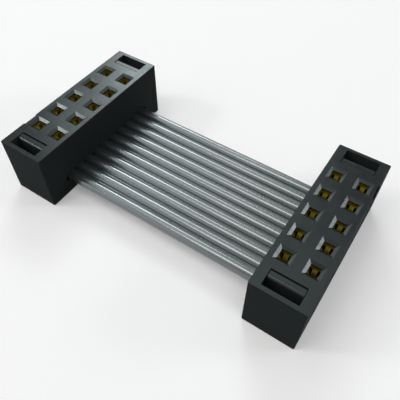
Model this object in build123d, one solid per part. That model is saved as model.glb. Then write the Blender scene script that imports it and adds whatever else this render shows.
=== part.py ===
from build123d import *
import os

# A short ribbon cable with a ten-way socket connector pressed on each end, in millimetres.
# X runs along the ribbon, Y along the connectors and Z up, with the sockets facing up.
# The origin is on the table, under the middle of the assembly.
# A connector is made about its own middle: outer side at -X, ribbon leaving at +X.
# The right connector is the left one turned half a turn about Z.

# Contact grid
CONTACT_PITCH = 2.0  # from socket to socket along a row, and from row to row
POSITIONS = 5  # sockets in a row
CENTRE_DISTANCE = 21.4  # between the middles of the two connectors

# Ribbon
RIDGE_DIAMETER = 0.98  # insulation round one conductor
WEB_THICKNESS = 0.32  # flat bridge between two ridges
CORE_DIAMETER = 0.38  # bundle of fine strands, taken as one round wire
CORE_FIT = 0.01  # radial gap between a conductor and its insulation
RIBBON_INSET = 0.05  # cut end of the ribbon, in from the outer side

# Outside of a connector
SIDE_LENGTH = 1.0  # row centre to the long side
END_LENGTH = 3.0  # last socket centre to the end face
COVER_HEIGHT = 1.5  # table to the seam, which is the middle of the ribbon
BODY_HEIGHT = 3.6  # seam to the socket face
CORNER_RADIUS = 0.1  # upright corners
EDGE_CHAMFER = 0.04  # rim of the socket face and of the underside

# Sockets
LEAD_IN_SIZE = 1.2  # square mouth at the socket face
ENTRY_SIZE = 0.76  # square hole that guides the pin
LEAD_IN_DEPTH = 0.15
ENTRY_DEPTH = 0.12  # straight part under the lead-in
RIM_GAP = 0.02  # contact's top rim under the plastic
BOX_FIT = 0.03  # gap round the contact in its cavity

# Mark at position 1
NOTCH_WIDTH = 1.24
NOTCH_DEPTH = 0.13
NOTCH_LENGTH = 2.8  # down from the socket face

# Contact, stamped and folded from one strip
STOCK = 0.15  # strip thickness
BOX_SIZE = 1.1  # outside of the folded box
BEND_RADIUS = 0.2  # outside of the folds
RIM_HEIGHT = 0.3  # closed band above the windows
COLLAR_HEIGHT = 0.4  # closed band below the windows
WINDOW_WIDTH = 0.66
FINGER_WIDTH = 0.34
FINGER_GAP = 0.4  # between two opposite fingers with no pin in place
FINGER_END_GAP = 0.12  # free end of a finger above the lower band

# Fork that cuts into the ribbon
BLADE_WIDTH = 1.08
FORK_SLOT = 0.25  # narrower than the conductor, so it bites
FORK_THROAT = 0.35  # slot's round end above the middle of the ribbon
FORK_MOUTH = 0.3  # height of the flared mouth at the tips
TIP_FLAT = 0.1  # width of a tine's blunt tip
TIP_CHAMFER = 0.12  # outer corner of a tine
SHOULDER_GAP = 0.21  # blade's shoulder above the ridges
SHOULDER_HEIGHT = 0.5  # shoulder to the folded box
NECK_WIDTH = 0.68  # strip between the box and the blade
BLADE_FIT = 0.03  # gap round the blade in the plastic
CUT_FIT = 0.01  # gap between the blade and what it cuts

# Ribbon slot between body and cover
GROOVE_FIT = 0.02  # radial gap round a ridge
CHANNEL_HALF_HEIGHT = 0.26
CHANNEL_SIDE_GAP = 0.16  # beside the ribbon's edges

# Cover
COVER_FLOOR = 0.35  # plastic under the blade tips
TIP_GAP = 0.1  # blade tips above that floor

# Latch arm of the cover and its pocket in the body
END_WALL = 0.34
FLEX_GAP = 0.72  # room for the arm to bend outwards
SHANK_THICKNESS = 0.32
SHANK_GAP = 0.02  # arm to the wall it lies along
HOOK_BITE = 0.22  # hook beyond the shank
HOOK_GAP = 0.06  # hook to the pocket's inner wall
HOOK_HEIGHT = 0.52
HOOK_SINK = 0.05  # hook's top below the socket face
HOOK_FIT = 0.02  # hook above its ledge
HOOK_CHAMFER = 0.05  # top corner towards the sockets
HOOK_ROUND = 0.2  # top corner towards the end wall
POCKET_WIDTH = 2.55
ARM_SIDE_GAP = 0.05
ROOT_RADIUS = 0.12  # where the arm leaves the cover

# Sizes worked out from the ones above
ROW_OFFSET = CONTACT_PITCH / 2
WIRE_PITCH = CONTACT_PITCH / 2
WIRES = 2 * POSITIONS
WIDTH = CONTACT_PITCH + 2 * SIDE_LENGTH
LENGTH = (POSITIONS - 1) * CONTACT_PITCH + 2 * END_LENGTH
SEAM = COVER_HEIGHT
TOP = COVER_HEIGHT + BODY_HEIGHT
RIDGE_RADIUS = RIDGE_DIAMETER / 2
GROOVE_RADIUS = RIDGE_RADIUS + GROOVE_FIT
RIBBON_WIDTH = (WIRES - 1) * WIRE_PITCH + RIDGE_DIAMETER
RIBBON_LENGTH = CENTRE_DISTANCE + WIDTH - 2 * RIBBON_INSET
CHANNEL_WIDTH = RIBBON_WIDTH + 2 * CHANNEL_SIDE_GAP

ENTRY_TOP = TOP - LEAD_IN_DEPTH
CAVITY_TOP = ENTRY_TOP - ENTRY_DEPTH
BOX_TOP = CAVITY_TOP - RIM_GAP
SHOULDER = SEAM + RIDGE_RADIUS + SHOULDER_GAP
BOX_BOTTOM = SHOULDER + SHOULDER_HEIGHT
CAVITY_SIZE = BOX_SIZE + 2 * BOX_FIT
WALL_MIDDLE = (BOX_SIZE - STOCK) / 2
FORK_X = ROW_OFFSET - WALL_MIDDLE
TIP = COVER_FLOOR + TIP_GAP

SHANK_OUTER = LENGTH / 2 - END_WALL - FLEX_GAP
SHANK_INNER = SHANK_OUTER - SHANK_THICKNESS
HOOK_INNER = SHANK_INNER - HOOK_BITE
POCKET_INNER = HOOK_INNER - HOOK_GAP
POCKET_OUTER = LENGTH / 2 - END_WALL
HOOK_TOP = TOP - HOOK_SINK
HOOK_BOTTOM = HOOK_TOP - HOOK_HEIGHT
LEDGE = HOOK_BOTTOM - HOOK_FIT
ARM_WIDTH = POCKET_WIDTH - 2 * ARM_SIDE_GAP

ROW_Y = [(i - (POSITIONS - 1) / 2) * CONTACT_PITCH for i in range(POSITIONS)]
WIRE_Y = [(i - (WIRES - 1) / 2) * WIRE_PITCH for i in range(WIRES)]

# A contact in the row at -X stands as made, and one in the row at +X is turned half a turn.
CONTACT_PLACES = [(-ROW_OFFSET, y, 0) for y in ROW_Y] + [(ROW_OFFSET, y, 180) for y in ROW_Y]

# Each blade straddles the conductor half a wire pitch to one side of its contact.
BLADE_PLACES = [(-FORK_X, y - WIRE_PITCH / 2) for y in ROW_Y]
BLADE_PLACES += [(FORK_X, y + WIRE_PITCH / 2) for y in ROW_Y]


def block(x0, x1, y0, y1, z0, z1):
    """Box between two corners."""
    middle = Pos((x0 + x1) / 2, (y0 + y1) / 2, (z0 + z1) / 2)
    return middle * Box(x1 - x0, y1 - y0, z1 - z0)


def outer_block(z0, z1, rim_z):
    """Block of the connector's outline, with upright corners rounded and one rim chamfered."""
    outline = RectangleRounded(WIDTH, LENGTH, CORNER_RADIUS)
    solid = extrude(Pos(0, 0, z0) * outline, z1 - z0)
    rim = solid.faces().filter_by_position(Axis.Z, rim_z, rim_z).edges()
    return chamfer(rim, EDGE_CHAMFER)


def ribbon_space():
    """What the ribbon takes out of the body and the cover: a flat slot and a groove for each ridge."""
    half_width = CHANNEL_WIDTH / 2
    low = SEAM - CHANNEL_HALF_HEIGHT
    high = SEAM + CHANNEL_HALF_HEIGHT
    space = block(-WIDTH, WIDTH, -half_width, half_width, low, high)
    groove = Rot(0, 90, 0) * Cylinder(GROOVE_RADIUS, 2 * WIDTH)
    return space + [Pos(0, y, SEAM) * groove for y in WIRE_Y]


def socket_mouth():
    """Square lead-in and the straight entry hole below it."""
    flare = (LEAD_IN_SIZE - ENTRY_SIZE) / LEAD_IN_DEPTH
    above = LEAD_IN_DEPTH
    wide = LEAD_IN_SIZE + above * flare
    lower = Pos(0, 0, ENTRY_TOP) * Rectangle(ENTRY_SIZE, ENTRY_SIZE)
    upper = Pos(0, 0, TOP + above) * Rectangle(wide, wide)
    half = ENTRY_SIZE / 2
    return loft([lower.face(), upper.face()]) + block(-half, half, -half, half, SEAM, ENTRY_TOP)


def contact_cavity():
    """Room for the folded box, open towards the ribbon, and the slot for the blade beside it."""
    half = CAVITY_SIZE / 2
    box_room = block(-half, half, -half, half, 0, CAVITY_TOP)
    blade_middle = -WIRE_PITCH / 2
    low_y = blade_middle - BLADE_WIDTH / 2 - BLADE_FIT
    high_y = max(blade_middle + BLADE_WIDTH / 2, NECK_WIDTH / 2) + BLADE_FIT
    low_x = WALL_MIDDLE - STOCK / 2 - BLADE_FIT
    high_x = WALL_MIDDLE + STOCK / 2 + BLADE_FIT
    blade_room = block(low_x, high_x, low_y, high_y, 0, BOX_BOTTOM + BLADE_FIT)
    return box_room + blade_room


def make_body():
    """Housing with its sockets, the latch pockets at its ends and the mark at position 1."""
    body = outer_block(SEAM, TOP, TOP)
    socket = socket_mouth() + contact_cavity()
    cuts = [Pos(x, y, 0) * Rot(0, 0, turn) * socket for x, y, turn in CONTACT_PLACES]
    half_pocket = POCKET_WIDTH / 2
    for inner, z0, z1 in ((POCKET_INNER, LEDGE, TOP + 1), (SHANK_INNER - SHANK_GAP, 0, TOP + 1)):
        pocket = block(-half_pocket, half_pocket, inner, POCKET_OUTER, z0, z1)
        cuts += [pocket, Rot(0, 0, 180) * pocket]
    outer_side = -WIDTH / 2
    mark_y = ROW_Y[0]
    cuts.append(
        block(
            outer_side - 1,
            outer_side + NOTCH_DEPTH,
            mark_y - NOTCH_WIDTH / 2,
            mark_y + NOTCH_WIDTH / 2,
            TOP - NOTCH_LENGTH,
            TOP + 1,
        )
    )
    return body - cuts - ribbon_space()


def latch_arm():
    """Arm at the +Y end of the cover, with the hook towards the sockets."""
    points = [
        (SHANK_OUTER, SEAM - ROOT_RADIUS),
        (SHANK_OUTER, HOOK_TOP),
        (HOOK_INNER + HOOK_CHAMFER, HOOK_TOP),
        (HOOK_INNER, HOOK_TOP - HOOK_CHAMFER),
        (HOOK_INNER, HOOK_BOTTOM),
        (SHANK_INNER, HOOK_BOTTOM),
        (SHANK_INNER, SEAM - ROOT_RADIUS),
    ]
    profile = make_face(Polyline(*points, close=True))
    outer_corner = profile.vertices().sort_by(lambda vertex: vertex.X + vertex.Y)[-1]
    profile = fillet(outer_corner, HOOK_ROUND)
    half = ARM_WIDTH / 2
    arm = extrude(Plane.YZ * profile, half, both=True)
    web = block(-half, half, SHANK_OUTER, SHANK_OUTER + ROOT_RADIUS, SEAM, SEAM + ROOT_RADIUS)
    round_off = Rot(0, 90, 0) * Cylinder(ROOT_RADIUS, 2 * ARM_WIDTH)
    return arm + (web - Pos(0, SHANK_OUTER + ROOT_RADIUS, SEAM + ROOT_RADIUS) * round_off)


def make_cover():
    """Plate under the ribbon with a latch arm at each end and a pocket for each blade's tips."""
    cover = outer_block(0, SEAM, 0) - ribbon_space()
    half_x = STOCK / 2 + BLADE_FIT
    half_y = BLADE_WIDTH / 2 + BLADE_FIT
    pocket = block(-half_x, half_x, -half_y, half_y, COVER_FLOOR, TOP)
    cover -= [Pos(x, y, 0) * pocket for x, y in BLADE_PLACES]
    arm = latch_arm()
    return cover + [arm, Rot(0, 0, 180) * arm]


def contact_finger():
    """Bowed spring finger in the +X wall of the box, fixed at its top."""
    high = BOX_TOP - RIM_HEIGHT
    low = BOX_BOTTOM + COLLAR_HEIGHT + FINGER_END_GAP
    half_span = (high - low) / 2
    bow = WALL_MIDDLE - (FINGER_GAP + STOCK) / 2
    radius = (half_span**2 + bow**2) / (2 * bow)
    middle_z = (high + low) / 2
    strip = Circle(radius + STOCK / 2) - Circle(radius - STOCK / 2)
    strip = Pos(WALL_MIDDLE - bow + radius, middle_z) * strip
    reach = BOX_SIZE / 2
    root = RIM_HEIGHT / 4
    window = Pos(reach / 2, (high + root + low) / 2) * Rectangle(reach, high + root - low)
    profile = Plane.XZ * (strip & window)
    return extrude(profile, FINGER_WIDTH / 2, both=True)


def contact_fork():
    """Blade in the plane of the +X wall, with a slot that bites the conductor."""
    middle = -WIRE_PITCH / 2
    left = middle - BLADE_WIDTH / 2
    right = middle + BLADE_WIDTH / 2
    neck = NECK_WIDTH / 2
    band = BOX_BOTTOM + COLLAR_HEIGHT / 2
    slot = FORK_SLOT / 2
    points = [
        (-neck, band),
        (-neck, BOX_BOTTOM),
        (left, SHOULDER + SHOULDER_HEIGHT / 2),
        (left, TIP + TIP_CHAMFER),
        (left + TIP_CHAMFER, TIP),
        (left + TIP_CHAMFER + TIP_FLAT, TIP),
        (middle - slot, TIP + FORK_MOUTH),
        (middle - slot, SEAM + FORK_THROAT),
        (middle + slot, SEAM + FORK_THROAT),
        (middle + slot, TIP + FORK_MOUTH),
        (right - TIP_CHAMFER - TIP_FLAT, TIP),
        (right - TIP_CHAMFER, TIP),
        (right, TIP + TIP_CHAMFER),
        (right, SHOULDER),
        (neck, SHOULDER + SHOULDER_HEIGHT / 2),
        (neck, band),
    ]
    outline = make_face(Polyline(*points, close=True)) - Pos(middle, SEAM + FORK_THROAT) * Circle(slot)
    blade = extrude(Plane.YZ * outline, STOCK / 2, both=True)
    return Pos(WALL_MIDDLE, 0, 0) * blade


def make_contact():
    """Box folded round the pin, with a spring finger in each wall and the fork below one wall."""
    inside = BOX_SIZE - 2 * STOCK
    ring = RectangleRounded(BOX_SIZE, BOX_SIZE, BEND_RADIUS)
    ring -= RectangleRounded(inside, inside, BEND_RADIUS - STOCK)
    box = extrude(Pos(0, 0, BOX_BOTTOM) * ring, BOX_TOP - BOX_BOTTOM)
    low = BOX_BOTTOM + COLLAR_HEIGHT
    high = BOX_TOP - RIM_HEIGHT
    half = WINDOW_WIDTH / 2
    box -= block(-BOX_SIZE, BOX_SIZE, -half, half, low, high)
    box -= block(-half, half, -BOX_SIZE, BOX_SIZE, low, high)
    finger = contact_finger()
    return box + [Rot(0, 0, turn) * finger for turn in (0, 90, 180, 270)] + contact_fork()


def end_places():
    """Where the two connectors stand along the ribbon."""
    reach = CENTRE_DISTANCE / 2
    return {"left": Pos(-reach, 0, 0), "right": Pos(reach, 0, 0) * Rot(0, 0, 180)}


def make_ribbon():
    """Ridged insulation with a bore for each conductor and a cut for each blade."""
    section = Rectangle((WIRES - 1) * WIRE_PITCH, WEB_THICKNESS)
    section += [Pos(y, 0) * Circle(RIDGE_RADIUS) for y in WIRE_Y]
    section -= [Pos(y, 0) * Circle(CORE_DIAMETER / 2 + CORE_FIT) for y in WIRE_Y]
    ribbon = Pos(0, 0, SEAM) * extrude(Plane.YZ * section, RIBBON_LENGTH / 2, both=True)
    half_x = STOCK / 2 + CUT_FIT
    half_y = BLADE_WIDTH / 2 + CUT_FIT
    cut = block(-half_x, half_x, -half_y, half_y, 0, TOP)
    cuts = [end * Pos(x, y, 0) * cut for end in end_places().values() for x, y in BLADE_PLACES]
    return ribbon - cuts


def make_conductors():
    """Wires of the ribbon, each nipped by one blade in each connector."""
    wire = Rot(0, 90, 0) * Cylinder(CORE_DIAMETER / 2, RIBBON_LENGTH)
    half_x = STOCK / 2 + CUT_FIT
    neck = FORK_SLOT / 2 - CUT_FIT
    bite = block(-half_x, half_x, neck, CORE_DIAMETER, 0, TOP)
    nips = []
    for end in end_places().values():
        for x, y in BLADE_PLACES:
            blade = end * Pos(x, y, 0)
            nips += [blade * bite, blade * Rot(0, 0, 180) * bite]
    return [Pos(0, y, SEAM) * wire - nips for y in WIRE_Y]


def main():
    """Write one file for each piece of the assembly."""
    os.makedirs("parts", exist_ok=True)
    body = make_body()
    cover = make_cover()
    contact = make_contact()
    nodes = {"ribbon_insulation": make_ribbon()}
    for number, wire in enumerate(make_conductors(), start=1):
        nodes[f"conductor_{number:02d}"] = wire
    for side, end in end_places().items():
        nodes[f"socket_body_{side}"] = end * body
        nodes[f"cover_{side}"] = end * cover
        for number, (x, y, turn) in enumerate(CONTACT_PLACES, start=1):
            nodes[f"contact_{side}_{number:02d}"] = end * Pos(x, y, 0) * Rot(0, 0, turn) * contact
    for name, shape in nodes.items():
        export_step(shape, f"parts/{name}.step")


main()
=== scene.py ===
import math

import bpy
from mathutils import Matrix, Vector


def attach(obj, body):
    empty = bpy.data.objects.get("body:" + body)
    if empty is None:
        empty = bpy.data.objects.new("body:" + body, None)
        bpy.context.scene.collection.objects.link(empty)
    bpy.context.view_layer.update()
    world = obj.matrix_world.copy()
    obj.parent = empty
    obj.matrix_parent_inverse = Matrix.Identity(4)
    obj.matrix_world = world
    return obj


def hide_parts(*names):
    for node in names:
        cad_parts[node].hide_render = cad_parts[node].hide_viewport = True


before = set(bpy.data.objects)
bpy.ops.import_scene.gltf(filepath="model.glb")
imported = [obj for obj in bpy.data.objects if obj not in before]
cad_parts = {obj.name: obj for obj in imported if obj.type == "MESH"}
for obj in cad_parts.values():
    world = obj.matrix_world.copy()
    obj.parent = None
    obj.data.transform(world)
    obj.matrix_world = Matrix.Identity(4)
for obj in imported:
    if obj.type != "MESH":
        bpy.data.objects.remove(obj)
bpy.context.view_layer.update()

MM = 0.001

# Places and sizes that the CAD part sets, in millimetres
CONNECTOR_X = 10.7  # middle of a connector
SEAM_Z = 1.5  # middle of the ribbon, and seam between cover and body
WIRE_PITCH = 1.0
WIRE_COUNT = 10
WIRE_END = 12.65  # cut end of the ribbon and its wires
END_Y = 7.0  # end wall of a connector
SIDE_X = 2.0  # long wall of a connector, from its middle
POCKET_Y = (5.2, 6.7)  # latch pocket and the arm in it, from the middle
POCKET_X = 1.32  # half the pocket's width
POCKET_Z = 5.02  # just under the top of the hook
GROOVE_FLOOR = 1.86  # mark groove's floor, from the connector's middle, finished as the walls are

# Places and sizes in the finishes, in millimetres
RIM_BAND = 0.05  # rim of the socket face, where its polish fades into the walls' finish
UNDERSIDE_Z = 0.02  # just above the underside
EJECTOR_Y = 4.0  # ejector marks on the cover's underside, from the middle
EJECTOR_RADIUS = 0.6
EJECTOR_EDGE = 0.05  # slope of the mark's edge
EJECTOR_DEPTH = 0.03
LAY_STEP = 0.36  # faint ripple that the strands leave in the insulation, along the ribbon
LAY_SLANT = 0.9  # and across it

# One stranded wire, in millimetres
STRAND_RADIUS = 0.062
STRAND_RING = 0.126  # centres of the six outer strands
STRAND_SIDES = 8
STRAND_STEPS = 96  # rings along the wire, so that the twist is smooth
WIRE_LAY = 6.5  # length of one turn of the twist

# Floor, backdrop and lamps, with lengths in millimetres
FLOOR_SIZE = 1200
FLOOR_DROP = 0.02  # from the part down to the floor
FLOOR_LIFT = 0.2  # added to the pale floor where it is seen, so that it is near white
FLOOR_LIFT_FAR = 0.82  # and beyond the lamps, so that it meets the backdrop without a line
FLOOR_FADE = (300, 465)  # distances between which the first goes over into the second
BACKDROP_LOW = 0.95  # pale backdrop near the horizon
BACKDROP_HIGH = 0.4  # and overhead
BACKDROP_FADE = (0.2, 0.6)  # heights of a unit direction between which it does so
BACKDROP_FILL = 0.25  # share of it that lights the part
LAMP_DISTANCE = 320  # from the part's middle
LAMP_TINT = (0.93, 1.0, 1.02)

# Camera at the photograph's place, in millimetres and degrees
CAMERA_PLACE = (13.55, -19.75, 29.99)
CAMERA_TURN = (38.15, -0.38, 33.48)
CAMERA_LENS = 41.9


def select_only(*objects):
    """Leaves only these objects selected, with the first one active."""
    bpy.ops.object.select_all(action="DESELECT")
    for obj in objects:
        obj.select_set(True)
    bpy.context.view_layer.objects.active = objects[0]


def settle(obj):
    """Puts the object's place, turn and scale into its mesh."""
    select_only(obj)
    bpy.ops.object.transform_apply(location=True, rotation=True, scale=True)


def use_modifier(obj, kind, **values):
    """Adds a modifier, sets it up and applies it."""
    select_only(obj)
    modifier = obj.modifiers.new(kind.title(), kind)
    for key, value in values.items():
        setattr(modifier, key, value)
    bpy.ops.object.modifier_apply(modifier=modifier.name)


# Materials

def new_material(name):
    """An empty node tree with the shader in place."""
    material = bpy.data.materials.new(name)
    material.use_nodes = True
    tree = material.node_tree
    shader = tree.nodes["Principled BSDF"]
    return material, tree, shader


def add(tree, kind, x, y, **values):
    """A node at its place in the tree, with its settings."""
    node = tree.nodes.new(kind)
    node.location = (x, y)
    for key, value in values.items():
        setattr(node, key, value)
    return node


def noise(tree, vector, x, y, scale, detail, rough=0.5):
    """A noise texture that reads the given coordinates."""
    node = add(tree, "ShaderNodeTexNoise", x, y)
    node.inputs["Scale"].default_value = scale
    node.inputs["Detail"].default_value = detail
    node.inputs["Roughness"].default_value = rough
    tree.links.new(vector, node.inputs["Vector"])
    return node.outputs["Fac"]


def stretch(tree, vector, x, y, scale):
    """Coordinates scaled by a different amount along each axis."""
    node = add(tree, "ShaderNodeMapping", x, y)
    node.inputs["Scale"].default_value = scale
    tree.links.new(vector, node.inputs["Vector"])
    return node.outputs["Vector"]


def remap(tree, value, x, y, low, high, new_low, new_high):
    """A value moved from one range to another, held at its ends."""
    node = add(tree, "ShaderNodeMapRange", x, y)
    node.inputs["From Min"].default_value = low
    node.inputs["From Max"].default_value = high
    node.inputs["To Min"].default_value = new_low
    node.inputs["To Max"].default_value = new_high
    tree.links.new(value, node.inputs["Value"])
    return node.outputs["Result"]


def math_node(tree, operation, x, y, first, second=None):
    """One arithmetic step on sockets or numbers."""
    node = add(tree, "ShaderNodeMath", x, y, operation=operation)
    for index, value in enumerate((first, second)):
        if value is None:
            continue
        if isinstance(value, (int, float)):
            node.inputs[index].default_value = value
        else:
            tree.links.new(value, node.inputs[index])
    return node.outputs["Value"]


def two_colours(tree, factor, x, y, first, second):
    """A colour between two, by a factor. The first may be another node's colour."""
    node = add(tree, "ShaderNodeMix", x, y, data_type="RGBA")
    start, end = [socket for socket in node.inputs if socket.type == "RGBA"]
    if isinstance(first, tuple):
        start.default_value = (*first, 1.0)
    else:
        tree.links.new(first, start)
    end.default_value = (*second, 1.0)
    tree.links.new(factor, node.inputs[0])
    return [socket for socket in node.outputs if socket.type == "RGBA"][0]


def bump(tree, height, x, y, distance, under=None):
    """A bump from a height, in metres, over another bump if one is given."""
    node = add(tree, "ShaderNodeBump", x, y)
    node.inputs["Distance"].default_value = distance
    tree.links.new(height, node.inputs["Height"])
    if under is not None:
        tree.links.new(under, node.inputs["Normal"])
    return node.outputs["Normal"]


def make_housing_black():
    """Black moulded plastic: polished socket faces, spark-cut side walls with a painted darker reflection,
    and latch pockets coloured lighter as painted fill light in their depth.
    """
    material, tree, shader = new_material("housing_black")
    place = add(tree, "ShaderNodeTexCoord", -2100, 0).outputs["Object"]
    parts = add(tree, "ShaderNodeSeparateXYZ", -1920, -300)
    tree.links.new(place, parts.inputs["Vector"])
    along = math_node(tree, "ABSOLUTE", -1740, -300, parts.outputs["Y"])
    across = math_node(tree, "ABSOLUTE", -1740, -500, parts.outputs["X"])
    across = math_node(tree, "SUBTRACT", -1560, -500, across, CONNECTOR_X * MM)
    across = math_node(tree, "ABSOLUTE", -1380, -500, across)

    # Where the walls' finish and their painted darker reflection are: the end and long walls, the mark
    # groove and the underside
    end_wall = remap(tree, along, -1200, -300, (END_Y - RIM_BAND) * MM, END_Y * MM, 0.0, 1.0)
    long_wall = remap(tree, across, -1200, -500, (SIDE_X - RIM_BAND) * MM, SIDE_X * MM, 0.0, 1.0)
    groove = remap(tree, across, -1200, -1450, (GROOVE_FLOOR - RIM_BAND) * MM, GROOVE_FLOOR * MM, 0.0, 1.0)
    below = math_node(tree, "LESS_THAN", -1200, -1650, parts.outputs["Z"], POCKET_Z * MM)
    groove = math_node(tree, "MULTIPLY", -1020, -1500, groove, below)
    wall = math_node(tree, "MAXIMUM", -1020, -400, end_wall, long_wall)
    wall = math_node(tree, "MAXIMUM", -840, -400, wall, groove)
    underside = math_node(tree, "LESS_THAN", -1200, -1850, parts.outputs["Z"], UNDERSIDE_Z * MM)
    wall = math_node(tree, "MAXIMUM", -680, -400, wall, underside)

    # Ejector marks, four shallow rounds on the underside
    reach = add(tree, "ShaderNodeCombineXYZ", -1380, -2050)
    tree.links.new(across, reach.inputs["X"])
    aside = math_node(tree, "SUBTRACT", -1560, -2050, along, EJECTOR_Y * MM)
    tree.links.new(aside, reach.inputs["Y"])
    radius = add(tree, "ShaderNodeVectorMath", -1200, -2050, operation="LENGTH")
    tree.links.new(reach.outputs["Vector"], radius.inputs[0])
    ejector = remap(tree, radius.outputs["Value"], -1020, -2050,
                    (EJECTOR_RADIUS - EJECTOR_EDGE) * MM, EJECTOR_RADIUS * MM, 1.0, 0.0)
    ejector = math_node(tree, "MULTIPLY", -840, -1950, ejector, underside)

    # Latch pockets and the arms in them, above the underside, whose colour carries painted fill light
    painted_fill_pocket = math_node(tree, "GREATER_THAN", -1200, -700, along, POCKET_Y[0] * MM)
    limits = ((along, POCKET_Y[1]), (across, POCKET_X), (parts.outputs["Z"], POCKET_Z))
    for index, (value, limit) in enumerate(limits):
        inside = math_node(tree, "LESS_THAN", -1200, -880 - 180 * index, value, limit * MM)
        painted_fill_pocket = math_node(tree, "MULTIPLY", -1020 + 180 * index, -800, painted_fill_pocket, inside)
    above = math_node(tree, "SUBTRACT", -480, -1000, 1.0, underside)
    painted_fill_pocket = math_node(tree, "MULTIPLY", -480, -800, painted_fill_pocket, above)

    # Colour and gloss
    cloud = noise(tree, place, -1140, 200, 420.0, 3.0)
    shade = two_colours(tree, cloud, -760, 300, (0.004, 0.005, 0.005), (0.007, 0.0082, 0.0082))
    # The pockets' lighter colour is painted fill light, standing in for light that their depth keeps out
    colour = two_colours(tree, painted_fill_pocket, -500, 250, shade, (0.034, 0.037, 0.038))
    tree.links.new(colour, shader.inputs["Base Color"])
    shader.distribution = "GGX"
    shader.inputs["Specular IOR Level"].default_value = 0.48
    # Specular tint: a cool one paints the lamps' cool light into the reflections, and a darker one on the
    # walls is painted shade on their reflection
    painted_reflection_tint = two_colours(tree, wall, -500, 500, (0.88, 1.0, 1.0), (0.44, 0.52, 0.52))
    tree.links.new(painted_reflection_tint, shader.inputs["Specular Tint"])

    smear = noise(tree, place, -1140, 0, 1300.0, 4.0, 0.6)
    polished = remap(tree, smear, -760, 0, 0.3, 0.7, 0.2, 0.28)
    spark_cut = math_node(tree, "MULTIPLY", -760, -200, wall, 0.78)
    roughness = math_node(tree, "ADD", -500, -50, polished, spark_cut)
    tree.links.new(roughness, shader.inputs["Roughness"])

    # Grain of the spark-cut walls, shallow sinks of the moulding and the marks
    grain = noise(tree, place, -1140, -500, 9000.0, 3.0, 0.6)
    grain = math_node(tree, "MULTIPLY", -500, -450, grain, wall)
    fine = bump(tree, grain, -300, -450, 0.000006)
    sink = noise(tree, place, -1140, -750, 260.0, 1.0)
    sunk = bump(tree, sink, -120, -450, 0.00002, fine)
    tree.links.new(bump(tree, ejector, 60, -450, -EJECTOR_DEPTH * MM, sunk), shader.inputs["Normal"])
    return material


def make_insulation_grey():
    """Grey glossy ribbon insulation, with lines from the die and a faint ripple from the strands' lay."""
    material, tree, shader = new_material("insulation_grey")
    place = add(tree, "ShaderNodeTexCoord", -1500, 0).outputs["Object"]

    drawn = stretch(tree, place, -1320, 200, (40.0, 2600.0, 2600.0))
    lines = noise(tree, drawn, -1140, 200, 1.0, 1.0)
    colour = two_colours(tree, lines, -500, 250, (0.016, 0.018, 0.019), (0.03, 0.033, 0.034))
    tree.links.new(colour, shader.inputs["Base Color"])
    shader.inputs["IOR"].default_value = 2.1
    # The cool specular tint paints the lamps' cool light into the reflections
    shader.inputs["Specular Tint"].default_value = (0.9, 1.0, 1.02, 1.0)
    shader.inputs["Coat Weight"].default_value = 1.0
    shader.inputs["Coat Roughness"].default_value = 0.14
    shader.inputs["Coat IOR"].default_value = 1.5

    cloud = noise(tree, place, -1140, 0, 700.0, 3.0)
    roughness = remap(tree, cloud, -760, 0, 0.3, 0.7, 0.2, 0.26)
    tree.links.new(roughness, shader.inputs["Roughness"])

    parts = add(tree, "ShaderNodeSeparateXYZ", -1320, -500)
    tree.links.new(place, parts.inputs["Vector"])
    lay = math_node(tree, "MULTIPLY", -1140, -500, parts.outputs["X"], 2 * math.pi / (LAY_STEP * MM))
    slant = math_node(tree, "MULTIPLY", -1140, -700, parts.outputs["Y"], 2 * math.pi / (LAY_SLANT * MM))
    ripple = math_node(tree, "SINE", -760, -500, math_node(tree, "ADD", -960, -500, lay, slant))
    rippled = bump(tree, ripple, -500, -500, 0.0000006)
    tree.links.new(bump(tree, lines, -300, -300, 0.000002, rippled), shader.inputs["Normal"])
    return material


def make_contact_gold():
    """Thin gold plating over a stamped strip, with its rolled grain."""
    material, tree, shader = new_material("contact_gold")
    shader.inputs["Metallic"].default_value = 1.0
    place = add(tree, "ShaderNodeTexCoord", -1500, 0).outputs["Object"]
    cloud = noise(tree, place, -1140, 200, 2600.0, 3.0)
    colour = two_colours(tree, cloud, -500, 250, (0.47, 0.395, 0.066), (0.57, 0.49, 0.1))
    tree.links.new(colour, shader.inputs["Base Color"])
    rolled = stretch(tree, place, -1320, 0, (14000.0, 14000.0, 900.0))
    grain = noise(tree, rolled, -1140, 0, 1.0, 2.0)
    tree.links.new(remap(tree, grain, -760, 0, 0.3, 0.7, 0.42, 0.52), shader.inputs["Roughness"])
    tree.links.new(bump(tree, grain, -300, -300, 0.0000005), shader.inputs["Normal"])
    return material


def make_tinned_copper():
    """Drawn wire with a tin coat that lets a little copper through."""
    material, tree, shader = new_material("tinned_copper")
    shader.inputs["Metallic"].default_value = 1.0
    place = add(tree, "ShaderNodeTexCoord", -1500, 0).outputs["Object"]
    cloud = noise(tree, place, -1140, 200, 3000.0, 3.0)
    worn = remap(tree, cloud, -760, 200, 0.45, 0.7, 0.0, 1.0)
    colour = two_colours(tree, worn, -500, 250, (0.74, 0.73, 0.7), (0.8, 0.62, 0.48))
    tree.links.new(colour, shader.inputs["Base Color"])
    drawn = stretch(tree, place, -1320, 0, (600.0, 16000.0, 16000.0))
    lines = noise(tree, drawn, -1140, 0, 1.0, 2.0)
    tree.links.new(remap(tree, lines, -760, 0, 0.3, 0.7, 0.26, 0.42), shader.inputs["Roughness"])
    tree.links.new(bump(tree, lines, -300, -300, 0.000002), shader.inputs["Normal"])
    return material


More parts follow.
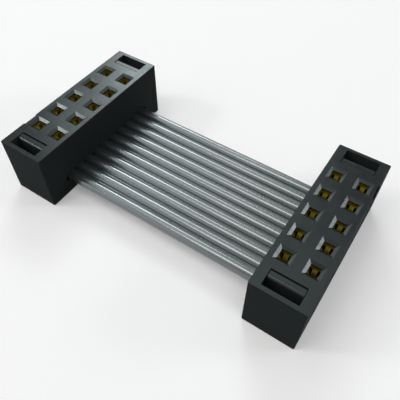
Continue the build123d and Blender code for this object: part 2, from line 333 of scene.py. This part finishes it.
def dress_cad_nodes():
    """Gives each CAD node the finish of its kind."""
    housing = make_housing_black()
    insulation = make_insulation_grey()
    contact = make_contact_gold()
    for name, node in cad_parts.items():
        if name.startswith(("socket_body", "cover")):
            finish = housing
        elif name.startswith("contact"):
            finish = contact
        elif name.startswith("ribbon"):
            finish = insulation
        else:
            continue
        for index in range(len(node.data.materials)):
            node.data.materials[index] = finish


# Stranded wires

def make_strand(y, z):
    """One straight strand from cut end to cut end."""
    bpy.ops.object.select_all(action="DESELECT")
    bpy.ops.mesh.primitive_cylinder_add(
        vertices=STRAND_SIDES, radius=STRAND_RADIUS * MM, depth=2 * WIRE_END * MM,
        location=(0.0, y * MM, SEAM_Z * MM), rotation=(0.0, math.radians(90), 0.0))
    strand = bpy.context.active_object
    settle(strand)
    strand.data.transform(Matrix.Translation((0.0, 0.0, z * MM)))
    return strand


def make_wire():
    """Seven strands laid side by side, cut into short steps and twisted together."""
    strands = [make_strand(0.0, 0.0)]
    for index in range(6):
        angle = math.radians(60 * index)
        strands.append(make_strand(STRAND_RING * math.cos(angle), STRAND_RING * math.sin(angle)))
    select_only(*strands)
    bpy.ops.object.join()
    wire = bpy.context.active_object

    bpy.ops.object.mode_set(mode="EDIT")
    for step in range(1, STRAND_STEPS):
        x = (2 * step / STRAND_STEPS - 1) * WIRE_END
        bpy.ops.mesh.select_all(action="SELECT")
        bpy.ops.mesh.bisect(plane_co=(x * MM, 0.0, 0.0), plane_no=(1.0, 0.0, 0.0))
    bpy.ops.object.mode_set(mode="OBJECT")

    wire.data.transform(Matrix.Translation((0.0, 0.0, -SEAM_Z * MM)))
    turns = 2 * WIRE_END / WIRE_LAY
    use_modifier(wire, "SIMPLE_DEFORM", deform_method="TWIST", deform_axis="X",
                 angle=2 * math.pi * turns)
    wire.data.transform(Matrix.Translation((0.0, 0.0, SEAM_Z * MM)))
    select_only(wire)
    bpy.ops.object.shade_smooth_by_angle(angle=math.radians(50))
    return wire


def make_wires():
    """Ten stranded wires, one in each ridge, in place of the CAD's plain ones."""
    finish = make_tinned_copper()
    first = make_wire()
    first.data.transform(Matrix.Translation((0.0, -(WIRE_COUNT - 1) / 2 * WIRE_PITCH * MM, 0.0)))
    for index in range(WIRE_COUNT):
        wire = first
        if index:
            wire = first.copy()
            wire.data = first.data.copy()
            bpy.context.scene.collection.objects.link(wire)
            wire.data.transform(Matrix.Translation((0.0, index * WIRE_PITCH * MM, 0.0)))
        wire.name = wire.data.name = f"stranded_wire_{index + 1:02d}"
        wire.data.materials.clear()
        wire.data.materials.append(finish)
        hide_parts(f"conductor_{index + 1:02d}")
        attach(wire, "root")


# Floor, lamps and camera

def seen_directly(tree, x, y):
    """One for rays that show the background: from the camera, mirrored or passed through."""
    ray = add(tree, "ShaderNodeLightPath", x, y)
    seen = ray.outputs["Is Camera Ray"]
    seen = math_node(tree, "MAXIMUM", x + 200, y, seen, ray.outputs["Is Glossy Ray"])
    return math_node(tree, "MAXIMUM", x + 400, y, seen, ray.outputs["Is Transmission Ray"])


def make_floor():
    """Plain pale floor just under the part."""
    bpy.ops.object.select_all(action="DESELECT")
    bpy.ops.mesh.primitive_plane_add(size=FLOOR_SIZE * MM, location=(0.0, 0.0, -FLOOR_DROP * MM))
    floor = bpy.context.active_object
    floor.name = "floor"
    settle(floor)
    material, tree, shader = new_material("floor_white")
    shader.inputs["Base Color"].default_value = (0.83, 0.8, 0.8, 1.0)
    shader.inputs["Roughness"].default_value = 0.9
    shader.inputs["Specular IOR Level"].default_value = 0.1
    shader.inputs["Emission Color"].default_value = (1.0, 1.0, 1.0, 1.0)
    place = add(tree, "ShaderNodeTexCoord", -1000, -300).outputs["Object"]
    away = add(tree, "ShaderNodeVectorMath", -800, -300, operation="LENGTH")
    tree.links.new(place, away.inputs[0])
    level = remap(tree, away.outputs["Value"], -600, -300, FLOOR_FADE[0] * MM, FLOOR_FADE[1] * MM,
                  FLOOR_LIFT, FLOOR_LIFT_FAR)
    lift = math_node(tree, "MULTIPLY", -200, 0, seen_directly(tree, -800, 0), level)
    tree.links.new(lift, shader.inputs["Emission Strength"])
    floor.data.materials.append(material)


def make_softbox(name, azimuth, elevation, width, height, level, painted_reflection_tint=LAMP_TINT):
    """A rectangular lamp facing the part. Its place and apparent size are in degrees, azimuth from +Y
    towards +X, and level sets the brightness of its face, whatever its size."""
    turn, rise = math.radians(azimuth), math.radians(elevation)
    direction = Vector((math.sin(turn) * math.cos(rise), math.cos(turn) * math.cos(rise), math.sin(rise)))
    lamp = bpy.data.lights.new(name, "AREA")
    lamp.shape = "RECTANGLE"
    lamp.size = 2 * LAMP_DISTANCE * MM * math.tan(math.radians(width / 2))
    lamp.size_y = 2 * LAMP_DISTANCE * MM * math.tan(math.radians(height / 2))
    lamp.energy = level * math.pi * lamp.size * lamp.size_y
    lamp.color = painted_reflection_tint
    obj = bpy.data.objects.new(name, lamp)
    obj.location = direction * LAMP_DISTANCE * MM
    obj.rotation_euler = direction.to_track_quat("Z", "Y").to_euler()
    bpy.context.scene.collection.objects.link(obj)


def make_lights():
    """Soft studio light: a key behind on the left, softboxes overhead and in front, and strips."""
    # Name, azimuth, elevation, width, height and level
    make_softbox("key_band", -36, 45, 32, 11, 3.3)
    make_softbox("key_core", -38, 38, 14.5, 8, 8.0)
    make_softbox("key_right", -28, 46, 10, 12, 2.3)
    make_softbox("key_low", -37, 31, 12, 6, 2.8)
    make_softbox("key_high", -38, 66, 44, 12, 0.95)
    make_softbox("low_strip", -52, 12, 16, 9, 1.2)
    make_softbox("top_softbox", -141, 75, 11, 30, 4.2, (1.0, 1.0, 0.9))
    make_softbox("right_fill_softbox", 125, 66, 34, 26, 1.9)
    make_softbox("top_left_softbox", -95, 68, 26, 26, 1.15)
    make_softbox("front_high_softbox", -145, 52, 30, 26, 0.7)
    make_softbox("front_low_softbox", -145, 24, 34, 22, 0.7)
    make_softbox("back_right_softbox", 37, 53, 16, 12, 1.6)
    make_softbox("right_strip", 55, 25, 16, 8, 13.0, (0.97, 0.97, 1.0))
    make_softbox("left_strip", -121, 38, 9, 9, 20.0, (0.97, 0.97, 1.0))


def make_backdrop():
    """Pale world, seen at its full level and lighting the part at a share of it."""
    world = bpy.data.worlds.new("studio")
    bpy.context.scene.world = world
    world.use_nodes = True
    tree = world.node_tree
    background = tree.nodes["Background"]
    background.inputs["Color"].default_value = (0.99, 1.0, 1.0, 1.0)
    parts = add(tree, "ShaderNodeSeparateXYZ", -800, 0)
    tree.links.new(add(tree, "ShaderNodeTexCoord", -1000, 0).outputs["Generated"], parts.inputs["Vector"])
    pale = remap(tree, parts.outputs["Z"], -600, 0, *BACKDROP_FADE, BACKDROP_LOW, BACKDROP_HIGH)
    share = remap(tree, seen_directly(tree, -1000, -300), -400, -300, 0.0, 1.0, BACKDROP_FILL, 1.0)
    strength = math_node(tree, "MULTIPLY", -200, 0, pale, share)
    tree.links.new(strength, background.inputs["Strength"])


def make_camera():
    """The photograph's view of the part."""
    camera = bpy.data.objects.new("camera", bpy.data.cameras.new("camera"))
    camera.location = Vector(CAMERA_PLACE) * MM
    camera.rotation_euler = [math.radians(a) for a in CAMERA_TURN]
    camera.data.lens = CAMERA_LENS
    camera.data.clip_start = 1 * MM
    camera.data.clip_end = 2000 * MM
    bpy.context.scene.collection.objects.link(camera)
    bpy.context.scene.camera = camera


dress_cad_nodes()
make_wires()
make_floor()
make_lights()
make_backdrop()
make_camera()
bpy.context.scene.view_settings.view_transform = "Standard"
